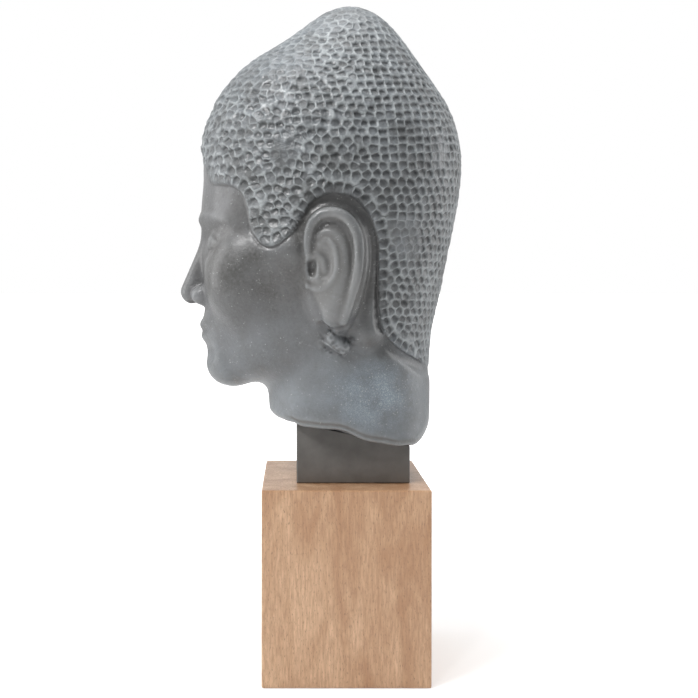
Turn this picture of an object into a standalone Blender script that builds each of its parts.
# Head of a figure with a cap of small round curls and a broken neck, carried by
# a dark metal block on a square wooden plinth. Metres, +Z up, face towards -Y.
import math

import bmesh
import bpy
import numpy as np
from mathutils import kdtree
from mathutils.geometry import delaunay_2d_cdt

for old in list(bpy.data.objects):
    bpy.data.objects.remove(old, do_unlink=True)

# Plinth: a square post of solid wood standing on its underside.
PLINTH_WIDTH = 0.120
PLINTH_DEPTH = 0.120
PLINTH_HEIGHT = 0.140
PLINTH_EDGE_RADIUS = 0.0012

# Mounting block between the plinth and the cut of the neck.
BLOCK_LENGTH = 0.0825
BLOCK_DEPTH = 0.070
BLOCK_RISE = 0.0355
BLOCK_SET_BACK = 0.006
BLOCK_EDGE_RADIUS = 0.0006

# Free height left between two pieces that touch.
CONTACT_GAP = 0.0003

# Head: the canon below is laid out in 325 parts of this height, measured from
# the level of the neck's foot to the top of the crown.
HEAD_HEIGHT = 0.325
CANON_PARTS = 325.0
PART = HEAD_HEIGHT / CANON_PARTS

# Cut under the neck, in parts: level at the middle and fall towards the back.
CUT_LEVEL = 7.0
CUT_FALL = 0.2

# Worn edge of that cut, in parts: radius at the throat and its growth to the nape.
FOOT_RADIUS_FRONT = 2.0
FOOT_RADIUS_GROWTH = 6.0

# Canon of the face in parts: three equal thirds from hairline to chin.
FACE_THIRD = 60.0
CHIN_LEVEL = 40.0
NOSE_LEVEL = CHIN_LEVEL + FACE_THIRD
BROW_LEVEL = NOSE_LEVEL + FACE_THIRD
EYE_LEVEL = BROW_LEVEL - 0.25 * FACE_THIRD
MOUTH_LEVEL = NOSE_LEVEL - FACE_THIRD / 3
EYE_WIDTH = 30.0
EYE_SPACING = 30.0
EYE_X = (EYE_SPACING + EYE_WIDTH) / 2

# Hair in parts: width of a curl, depth of the grooves, step down to the skin.
CURL_PITCH = 10.5
GROOVE_DEPTH = 2.1
HAIR_STEP = 3.5

# Spacing of the mesh in parts: on plain skin, on the features and on the rim.
SKIN_SPACING = 11.5
FEATURE_SPACING = 2.2
EDGE_SPACING = 4.4
CANDIDATES = 60000
RIM_SAMPLES = 56

# Rays that find the surface start on a short upright line inside the head.
RAY_MIDDLE = np.array([0.0, -5.0, 130.0])
RAY_SHIFT = 62.0

# Edge of the hair seen from the side, (y, z) in parts, from the forehead round
# the temple and the ear to the nape. Each corner is cut off at this share of the
# line between two points.
HAIR_CORNER_SHARE = 0.2
HAIR_EDGE = (
    (-130.0, 224.0), (-108.6, 217.0), (-103.5, 200.0), (-98.0, 187.0),
    (-89.0, 185.5), (-80.5, 184.0), (-73.0, 177.5), (-69.5, 166.0),
    (-68.0, 153.0), (-60.5, 142.0), (-53.0, 139.5), (-45.0, 143.5),
    (-36.5, 151.0), (-30.0, 162.0), (-24.5, 171.5), (-11.5, 177.5),
    (4.0, 174.5), (16.0, 161.0), (21.5, 144.0), (21.0, 126.0),
    (21.5, 98.5), (25.0, 82.0), (33.5, 71.0), (47.5, 62.0),
    (65.0, 52.0), (90.0, 44.0), (260.0, 44.0), (260.0, 420.0),
    (-260.0, 420.0), (-260.0, 224.0),
)


def ellipsoid(points, centre, radii):
    radii = np.asarray(radii, dtype=float)
    offset = (points - np.asarray(centre, dtype=float)) / radii
    reach = np.linalg.norm(offset, axis=1)
    slope = np.linalg.norm(offset / radii, axis=1)
    return reach * (reach - 1) / np.maximum(slope, 1e-9)


def limb(points, start, end, start_radius, end_radius):
    start = np.asarray(start, dtype=float)
    axis = np.asarray(end, dtype=float) - start
    along = np.clip((points - start) @ axis / (axis @ axis), 0, 1)
    gap = np.linalg.norm(points - start - along[:, None] * axis, axis=1)
    return gap - (start_radius + (end_radius - start_radius) * along)


def strand(points, knots, radii, pieces=4):
    """Round cord along a smooth curve through the knots."""
    knots = np.asarray(knots, dtype=float)
    places = np.linspace(0, len(knots) - 1, pieces * (len(knots) - 1) + 1)
    thickness = np.interp(places, np.arange(len(knots)), radii)
    padded = np.concatenate([2 * knots[:1] - knots[1:2], knots, 2 * knots[-1:] - knots[-2:-1]])
    path = []
    for place in places:
        first = min(int(place), len(knots) - 2)
        share = place - first
        before, start, end, after = padded[first:first + 4]
        path.append(0.5 * (2 * start + (end - before) * share
                           + (2 * before - 5 * start + 4 * end - after) * share ** 2
                           + (3 * start - before - 3 * end + after) * share ** 3))
    field = limb(points, path[0], path[1], thickness[0], thickness[1])
    for index in range(1, len(path) - 1):
        piece = limb(points, path[index], path[index + 1], thickness[index],
                     thickness[index + 1])
        field = np.minimum(field, piece)
    return field


def within(shape, points, centre, reach):
    """Evaluate a shape close to its own place only; far away it is out of reach."""
    away = np.linalg.norm(points - np.asarray(centre, dtype=float), axis=1)
    field = np.maximum(away - reach, 4.0) + 8.0
    close = away < reach
    if close.any():
        field[close] = shape(points[close])
    return field


def ramp(values, start, end):
    share = np.clip((values - start) / (end - start), 0, 1)
    return share * share * (3 - 2 * share)


def ridge(values, width):
    return np.exp(-(values / width) ** 2)


def blend(first, second, softness):
    share = np.clip(0.5 + 0.5 * (second - first) / softness, 0, 1)
    return second * (1 - share) + first * share - softness * share * (1 - share)


def carve(body, tool, softness):
    return -blend(-body, tool, softness)


def inside_edge(flat_points):
    """Signed distance to the edge of the hair in side view, negative inside."""
    corners = np.array(HAIR_EDGE)
    after = np.roll(corners, -1, axis=0)
    cut = HAIR_CORNER_SHARE * (after - corners)
    knots = np.stack([corners + cut, after - cut], axis=1).reshape(-1, 2)
    nearest = np.full(len(flat_points), np.inf)
    inside = np.zeros(len(flat_points), dtype=bool)
    for start, end in zip(knots, np.roll(knots, -1, axis=0)):
        axis = end - start
        offset = flat_points - start
        along = np.clip(offset @ axis / (axis @ axis), 0, 1)
        nearest = np.minimum(nearest, np.sum((offset - along[:, None] * axis) ** 2, axis=1))
        spans = (start[1] > flat_points[:, 1]) != (end[1] > flat_points[:, 1])
        rise = axis[1] if axis[1] else 1e-9
        crossing = start[0] + axis[0] * (flat_points[:, 1] - start[1]) / rise
        inside ^= spans & (flat_points[:, 0] < crossing)
    return np.where(inside, -1, 1) * np.sqrt(nearest)


def scalp(points):
    """Outer surface of the hair: cranium, crown bump and nape in one form."""
    cranium = ellipsoid(points, (0, -9.8, 204.9), (80, 99.1, 96.9))
    crown = ellipsoid(points, (0, 4.7, 261), (46, 47.7, 63.3))
    slim = points * (1.14, 1, 1)
    front = slim[:, 1] < 0
    slim[front, 1] *= 1.13
    nape = limb(slim, (0, 4.9, -40), (0, -3.8, 93.5), 64.8, 67.1)
    return blend(blend(cranium, crown, 20.3), nape, 78.4)


def face_mass(points):
    """Large forms of the face; points hold the distance from the middle plane."""
    mask = ellipsoid(points, (0, -30, 134), (66, 76, 92))
    forehead = ellipsoid(points, (0, -40, 174), (60, 65, 58))
    mask = blend(mask, forehead, 14)
    jaw = ellipsoid(points, (0, -38, 84), (53, 59, 46))
    mask = blend(mask, jaw, 14)
    jaw_line = limb(points, (46, -22, 84), (14, -82, 55), 11, 14)
    mask = blend(mask, jaw_line, 14)
    chin = ellipsoid(points, (0, -86, CHIN_LEVEL + 15), (20, 17, 15.5))
    mask = blend(mask, chin, 12)
    cheek = ellipsoid(points, (34, -74, 118), (27, 27, 31))
    mask = blend(mask, cheek, 14)
    cheekbone = limb(points, (44, -71, 134), (62, -38, 138), 10, 9)
    mask = blend(mask, cheekbone, 18)
    muzzle = ellipsoid(points, (0, -84, MOUTH_LEVEL + 1), (28, 21.5, 25))
    return blend(mask, muzzle, 12)


def features(points):
    """Brows, eyes, nose and lips on the large forms of the face."""
    side = points[:, 0]
    level = points[:, 2]
    mask = face_mass(points)
    brow_line = BROW_LEVEL + 5 - 0.0085 * (side - 27) ** 2
    brow_share = ramp(side, 2, 12) * (1 - ramp(side, 50, 62))
    mask = mask - 3.0 * brow_share * ridge(level - brow_line, 5.5)
    socket = ellipsoid(points, (EYE_X, -109, EYE_LEVEL + 2), (21, 15, 11))
    mask = carve(mask, socket, 9)

    bridge = limb(points, (0, -98, BROW_LEVEL - 4), (0, -114, NOSE_LEVEL + 9), 5.5, 9.2)
    root = limb(points, (0, -96, BROW_LEVEL + 4), (0, -98, BROW_LEVEL - 6), 6, 6)
    wing = ellipsoid(points, (12, -104, NOSE_LEVEL + 6.5), (7, 10, 7.5))
    nose = blend(blend(bridge, root, 5), wing, 4)
    mask = blend(mask, nose, 5.5)
    nostril = ellipsoid(points, (7, -112, NOSE_LEVEL - 1), (3.6, 6, 3.6))
    mask = carve(mask, nostril, 2)
    groove = limb(points, (0, -110.5, NOSE_LEVEL - 3), (0, -111, NOSE_LEVEL - 9), 2.5, 3)
    mask = carve(mask, groove, 4)

    across = (side - EYE_X) / (EYE_WIDTH / 2)
    ball = ellipsoid(points, (EYE_X, -82, EYE_LEVEL - 1.5), (16, 16.2, 13))
    lid = ellipsoid(points, (EYE_X, -82, EYE_LEVEL - 1.5), (18, 18.3, 14.5))
    slit_level = EYE_LEVEL - 6.2 + 2.6 * across ** 2
    slit_half = 2.2 * (1 - across ** 2)
    crease = EYE_LEVEL + 7 - 5 * across ** 2
    lid = lid + 0.9 * ridge(level - crease, 1.4)
    lid = np.maximum(lid, slit_half - np.abs(level - slit_level))
    mask = blend(blend(mask, ball, 2), lid, 1.5)

    upper = ((0, -102.5, MOUTH_LEVEL + 3.8), (6, -103, MOUTH_LEVEL + 4.6),
             (16, -98, MOUTH_LEVEL + 3.4), (25.5, -89.5, MOUTH_LEVEL + 1.4))
    lower = ((0, -101, MOUTH_LEVEL - 5), (8, -100.3, MOUTH_LEVEL - 4.8),
             (17, -95, MOUTH_LEVEL - 2.6), (25.5, -89.5, MOUTH_LEVEL + 0.6))
    mask = blend(mask, strand(points, upper, (5.2, 5, 4, 1.6)), 1.6)
    mask = blend(mask, strand(points, lower, (6.6, 6.4, 5, 1.6)), 1.6)
    fold = limb(points, (0, -110.5, MOUTH_LEVEL - 16), (18, -103, MOUTH_LEVEL - 14), 5, 4)
    return carve(mask, fold, 10)


def face(points):
    return within(features, points, (0, -60, 115), 90)


def ear_form(points):
    """Ear in low relief: rim, fold, bowl, long lobe and the broken stub below."""
    rim = ((73, -26.5, 131), (75, -28, 140), (77, -27, 149), (78.5, -24, 157),
           (79.5, -17.5, 162.5), (80.5, -9, 162.5), (81.5, -1, 158), (82.5, 4.8, 150.5),
           (83, 7.4, 141), (83, 7.8, 131), (82, 6.2, 120), (80, 3.4, 109.5),
           (77, 0.4, 99.5), (73.5, -2.6, 89.5))
    radii = np.array((2.6, 2.8, 3.2, 3.6, 4, 4.2, 4, 3.7, 3.5, 3.4, 3.3, 3.2, 3.1, 3))
    field = strand(points, rim, radii, 3)
    root = strand(points, np.subtract(rim, (12, 0, 0)), radii + 4.5, 2)
    field = blend(field, root, 4)
    skirt = ellipsoid(points, (56, -9, 127), (22, 27, 50))
    plate = ellipsoid(points, (67, -10, 129), (9.5, 18, 37))
    field = blend(field, blend(plate, skirt, 6), 3)
    body = ((76, -18, 150), (77.5, -11, 151), (78.5, -5.5, 146.5), (78.8, -4, 137),
            (78.5, -4.4, 127), (77.5, -6, 117), (75.5, -8, 107), (72.5, -9.5, 98), (70, -9.5, 91))
    field = blend(field, strand(points, body, (2.6, 3, 3.4, 4, 4.5, 5, 5.8, 6.4, 5.4), 3), 1.6)
    lobe = limb(points, (67, -11, 110), (67, -9, 94), 10.5, 8)
    field = blend(field, lobe, 3)
    bowl = ellipsoid(points, (80, -18, 127), (10, 7.5, 13))
    field = carve(field, bowl, 2)
    hole = ellipsoid(points, (76, -25, 126), (10, 4.2, 8))
    field = carve(field, hole, 2)
    fold = ((77, -19.5, 142.4), (79, -14.7, 145.6), (80.5, -10.5, 141.7), (81, -8, 134.8),
            (81, -7.6, 125), (79.5, -10.5, 117), (77, -15.4, 111.6), (74, -22, 110.8),
            (71, -27.5, 113.4))
    field = blend(field, strand(points, fold, (1.8, 2, 2.2, 2.2, 2.2, 2.2, 2.2, 2, 1.8), 3), 1.2)
    curl = ((73, -26.5, 131), (74, -22.5, 134.5), (74, -18, 132), (73, -16, 126))
    field = blend(field, strand(points, curl, (2.6, 2.6, 2.8, 2.4), 3), 1.5)
    stub = limb(points, (59, -11, 77), (60, -3, 71), 7, 6)
    return blend(field, stub, 3)


def ear(points):
    return within(ear_form, points, (72, -10, 122), 66)


def above_cut(points):
    return points[:, 2] - (CUT_LEVEL - CUT_FALL * points[:, 1])


def head(points):
    """Distance to the surface of the whole head, in parts."""
    half = points.copy()
    half[:, 0] = np.abs(half[:, 0])
    outer = blend(scalp(half), face_mass(half) - 1, 12)
    past_edge = inside_edge(half[:, 1:])
    bare = np.maximum(past_edge, 0)
    on_neck = ramp(half[:, 1], 8, 34) * ramp(-half[:, 2], -84, -62)
    on_neck *= 1 - 0.6 * ramp(-half[:, 2], -50, -10)
    step = HAIR_STEP * ramp(past_edge, -3.0, 0.4)
    step *= 1 - 0.85 * on_neck * ramp(past_edge, 4, 9)
    foot_radius = FOOT_RADIUS_FRONT + FOOT_RADIUS_GROWTH * ramp(half[:, 1], 15, 55)
    into_foot = np.clip(1 - above_cut(half) / foot_radius, 0, 1)
    skin = outer + step + foot_radius * (1 - np.sqrt(1 - into_foot ** 2))
    limit = skin - 0.9 * bare - 0.05 * bare ** 2
    skin = blend(skin, np.maximum(face(half), limit), 5)
    band = limb(half, (59, 14, 150), (53, 14, 84), 12, 12)
    skin = blend(skin, np.maximum(band, limit), 8)
    return blend(skin, ear(half), 3)


def ray_starts(directions):
    starts = np.tile(RAY_MIDDLE, (len(directions), 1))
    starts[:, 2] += RAY_SHIFT * directions[:, 2]
    return starts


def cast(directions):
    """Points where rays from inside the head leave it for the last time."""
    starts = ray_starts(directions)
    reach = np.full(len(directions), 190.0)
    active = np.arange(len(directions))
    for _ in range(140):
        spot = starts[active] + reach[active, None] * directions[active]
        distance = head(spot)
        reach[active] -= np.maximum(distance * 0.7, 0)
        active = active[distance > 0.02]
        if not len(active):
            break
    return starts + reach[:, None] * directions


def towards(points):
    """Direction of the ray that passes through each point."""
    rise = points[:, 2] - RAY_MIDDLE[2]
    flat = np.linalg.norm(points[:, :2] - RAY_MIDDLE[:2], axis=1)
    climb = np.zeros(len(points))
    for _ in range(60):
        reach = np.hypot(flat, rise - RAY_SHIFT * climb)
        climb = rise / (RAY_SHIFT + reach)
    offset = points - RAY_MIDDLE
    offset[:, 2] -= RAY_SHIFT * climb
    return offset / np.linalg.norm(offset, axis=1)[:, None]


def from_angles(polar, azimuth):
    """Unit directions; polar 0 is up and azimuth 0 is the face."""
    return np.stack([np.sin(polar) * np.sin(azimuth), -np.sin(polar) * np.cos(azimuth),
                     np.cos(polar)], axis=1)


def mean_profile():
    """Polar angles with the surface length and the girth radius reached there."""
    sweep = np.linspace(0.0, math.radians(172), 240)
    around = np.radians((0, 45, 70, 90, 110, 135, 160, 180))
    length = np.zeros(len(sweep))
    girth = np.zeros(len(sweep))
    for azimuth in around:
        line = cast(from_angles(sweep, np.full(len(sweep), azimuth)))
        steps = np.linalg.norm(np.diff(line, axis=0), axis=1)
        length[1:] += np.cumsum(steps) / len(around)
        girth += np.hypot(line[:, 0], line[:, 1] - RAY_MIDDLE[1]) / len(around)
    return sweep, length, girth


def flatten(directions, profile):
    """Picture of the surface on a plane that keeps small shapes alike."""
    sweep, length, girth = profile
    first = 6
    growth = np.diff(length[first:]) / (0.5 * (girth[first:-1] + girth[first + 1:]))
    swell = np.concatenate([[0.0], np.cumsum(growth)])
    polar = np.arccos(np.clip(directions[:, 2], -1, 1))
    away = np.exp(np.interp(polar, sweep[first:], swell))
    away = np.where(polar < sweep[first], polar / sweep[first], away)
    turn = np.arctan2(directions[:, 1], directions[:, 0])
    return np.stack([away * np.cos(turn), away * np.sin(turn)], axis=1)


def curl_centres(profile):
    """Staggered rows of curls round the crown, evenly spaced on the surface."""
    sweep, length, _ = profile
    rows = np.arange(0.5, length[-1] / (CURL_PITCH * 0.87))
    polar_of_rows = np.interp(rows * CURL_PITCH * 0.87, length, sweep)
    circle = np.linspace(0, 2 * math.pi, 181)
    centres = []
    for row, polar in enumerate(polar_of_rows):
        ring = cast(from_angles(np.full(len(circle), polar), circle))
        steps = np.linalg.norm(np.diff(ring, axis=0), axis=1)
        travelled = np.concatenate([[0.0], np.cumsum(steps)])
        count = max(3, round(travelled[-1] / CURL_PITCH))
        marks = (np.arange(count) + 0.5 * (row % 2)) * travelled[-1] / count
        turn = np.interp(marks, travelled, circle)
        centres.append(from_angles(np.full(count, polar), turn))
    return np.concatenate(centres)


def rim_points():
    """Ring where the wall of the neck meets the cut."""
    turn = np.arange(RIM_SAMPLES) * 2 * math.pi / RIM_SAMPLES
    heading = np.stack([np.sin(turn), -np.cos(turn), CUT_FALL * np.cos(turn)], axis=1)
    middle = np.array([0.0, 0.0, CUT_LEVEL])
    reach = np.full(RIM_SAMPLES, 110.0)
    for _ in range(120):
        reach -= 0.7 * head(middle + reach[:, None] * heading)
    return middle + reach[:, None] * heading


def wanted_spacing(points):
    """Spacing of the skin mesh: tight on eyes, lips, nose and ears."""
    half = points.copy()
    half[:, 0] = np.abs(half[:, 0])
    spacing = np.full(len(points), SKIN_SPACING)
    features = (
        ((EYE_X, -96, EYE_LEVEL - 2), (17, 14, 9)),
        ((EYE_X, -96, BROW_LEVEL + 3), (20, 14, 4)),
        ((10, -100, MOUTH_LEVEL), (17, 16, 9)),
        ((5, -110, NOSE_LEVEL + 6), (13, 18, 12)),
        ((76, -11, 128), (14, 20, 40)),
        ((62, -8, 74), (12, 10, 8)),
    )
    for centre, radii in features:
        away = np.maximum(ellipsoid(half, centre, radii), 0)
        spacing = np.minimum(spacing, FEATURE_SPACING + 0.5 * away)
    return spacing


def thin_out(points, spacing, taken):
    """Pick points in turn so that each keeps its own distance to the others."""
    chosen = list(taken)
    tree = kdtree.KDTree(len(points))
    for index, point in enumerate(points):
        tree.insert(point, index)
    tree.balance()
    free = np.ones(len(points), dtype=bool)
    for point, radius in chosen:
        for _, index, _ in tree.find_range(point, radius):
            free[index] = False
    picked = []
    for index in range(len(points)):
        if not free[index]:
            continue
        picked.append(index)
        for _, other, _ in tree.find_range(points[index], spacing[index]):
            free[other] = False
    return points[picked]


def triangles_of(directions, ring, profile):
    flat = [tuple(pair) for pair in flatten(directions, profile)]
    edges = [(ring[k], ring[(k + 1) % len(ring)]) for k in range(len(ring))]
    result = delaunay_2d_cdt(flat, edges, [], 1 if edges else 0, 1e-9)
    source = [group[0] for group in result[3]]
    return [tuple(source[corner] for corner in triangle) for triangle in result[2]]


def build_head():
    profile = mean_profile()
    rim = rim_points()
    curls = curl_centres(profile)
    groups = triangles_of(curls, [], profile)
    grooves = np.array([np.mean(curls[list(group)], axis=0) for group in groups])
    grooves /= np.linalg.norm(grooves, axis=1)[:, None]
    curl_spots = cast(curls)
    groove_spots = cast(grooves)
    inward = -towards(groove_spots)
    in_hair = inside_edge(curl_spots[:, 1:]) < -5
    curl_spots = curl_spots[in_hair]
    in_hair = inside_edge(groove_spots[:, 1:]) < -4.2
    groove_spots = (groove_spots + GROOVE_DEPTH * inward)[in_hair]

    order = np.arange(CANDIDATES) + 0.5
    polar = np.arccos(1 - 2 * order / CANDIDATES)
    azimuth = np.mod(order * math.pi * (1 + math.sqrt(5)), 2 * math.pi)
    shuffle = np.random.default_rng(7).permutation(CANDIDATES)
    surface = cast(from_angles(polar, azimuth)[shuffle])
    past_edge = inside_edge(surface[:, 1:])
    upper_edge = surface[np.abs(past_edge + 2.4) < 0.35]
    upper_edge = thin_out(upper_edge, np.full(len(upper_edge), EDGE_SPACING), [])
    lower_edge = surface[np.abs(past_edge - 0.4) < 0.35]
    lower_edge = thin_out(lower_edge, np.full(len(lower_edge), EDGE_SPACING), [])
    edge = np.concatenate([upper_edge, lower_edge])
    skin = surface[(past_edge > 1.5) & (above_cut(surface) > 3)]
    keep_off = [(point, 2.2) for point in edge]
    keep_off += [(point, SKIN_SPACING * 0.5) for point in rim]
    skin = thin_out(skin, wanted_spacing(skin), keep_off)

    spots = np.concatenate([rim, edge, curl_spots, groove_spots, skin])
    ring = list(range(len(rim)))
    faces = triangles_of(towards(spots), ring, profile)
    mesh = bpy.data.meshes.new("head")
    form = bmesh.new()
    corners = [form.verts.new(spot * PART) for spot in spots]
    form.verts.index_update()
    for face_corners in faces:
        form.faces.new([corners[index] for index in face_corners])
    form.faces.new([corners[index] for index in ring])
    for index in ring:
        for border in corners[index].link_edges:
            border.smooth = not {corner.index for corner in border.verts} <= set(ring)
    loose = [corner for corner in form.verts if not corner.link_faces]
    bmesh.ops.delete(form, geom=loose, context="VERTS")
    bmesh.ops.recalc_face_normals(form, faces=form.faces)
    form.to_mesh(mesh)
    form.free()
    mesh.shade_smooth()
    return mesh


def rounded_box(name, size, radius, segments, top_fall=0.0):
    """Box centred on X and Y with its foot at Z 0 and rounded edges."""
    mesh = bpy.data.meshes.new(name)
    form = bmesh.new()
    bmesh.ops.create_cube(form, size=1.0)
    for corner in form.verts:
        corner.co.x *= size[0]
        corner.co.y *= size[1]
        corner.co.z = (corner.co.z + 0.5) * size[2]
        if corner.co.z > 0:
            corner.co.z -= top_fall * corner.co.y
    bmesh.ops.bevel(form, geom=list(form.edges), offset=radius, segments=segments,
                    profile=0.5, affect="EDGES", clamp_overlap=True)
    bmesh.ops.recalc_face_normals(form, faces=form.faces)
    form.to_mesh(mesh)
    form.free()
    return mesh


def place(mesh, name, location, colour, roughness, metallic):
    piece = bpy.data.objects.new(name, mesh)
    piece.location = location
    bpy.context.scene.collection.objects.link(piece)
    material = bpy.data.materials.new(name)
    material.use_nodes = True
    shader = material.node_tree.nodes["Principled BSDF"]
    shader.inputs["Base Color"].default_value = (*colour, 1)
    shader.inputs["Roughness"].default_value = roughness
    shader.inputs["Metallic"].default_value = metallic
    mesh.materials.append(material)
    return piece


plinth_size = (PLINTH_DEPTH, PLINTH_WIDTH, PLINTH_HEIGHT)
plinth_mesh = rounded_box("plinth", plinth_size, PLINTH_EDGE_RADIUS, 2)
place(plinth_mesh, "plinth", (0, 0, 0), (0.50, 0.32, 0.20), 0.45, 0.0)

block_size = (BLOCK_DEPTH, BLOCK_LENGTH, BLOCK_RISE)
block_mesh = rounded_box("mounting_block", block_size, BLOCK_EDGE_RADIUS, 1, CUT_FALL)
block_foot = PLINTH_HEIGHT + CONTACT_GAP
place(block_mesh, "mounting_block", (0, BLOCK_SET_BACK, block_foot),
      (0.10, 0.10, 0.09), 0.5, 0.0)

head_mesh = build_head()
cut_over_block = (CUT_LEVEL * PART) - CUT_FALL * BLOCK_SET_BACK
head_level = block_foot + BLOCK_RISE + CONTACT_GAP - cut_over_block
place(head_mesh, "head", (0, 0, head_level), (0.16, 0.17, 0.18), 0.55, 0.0)
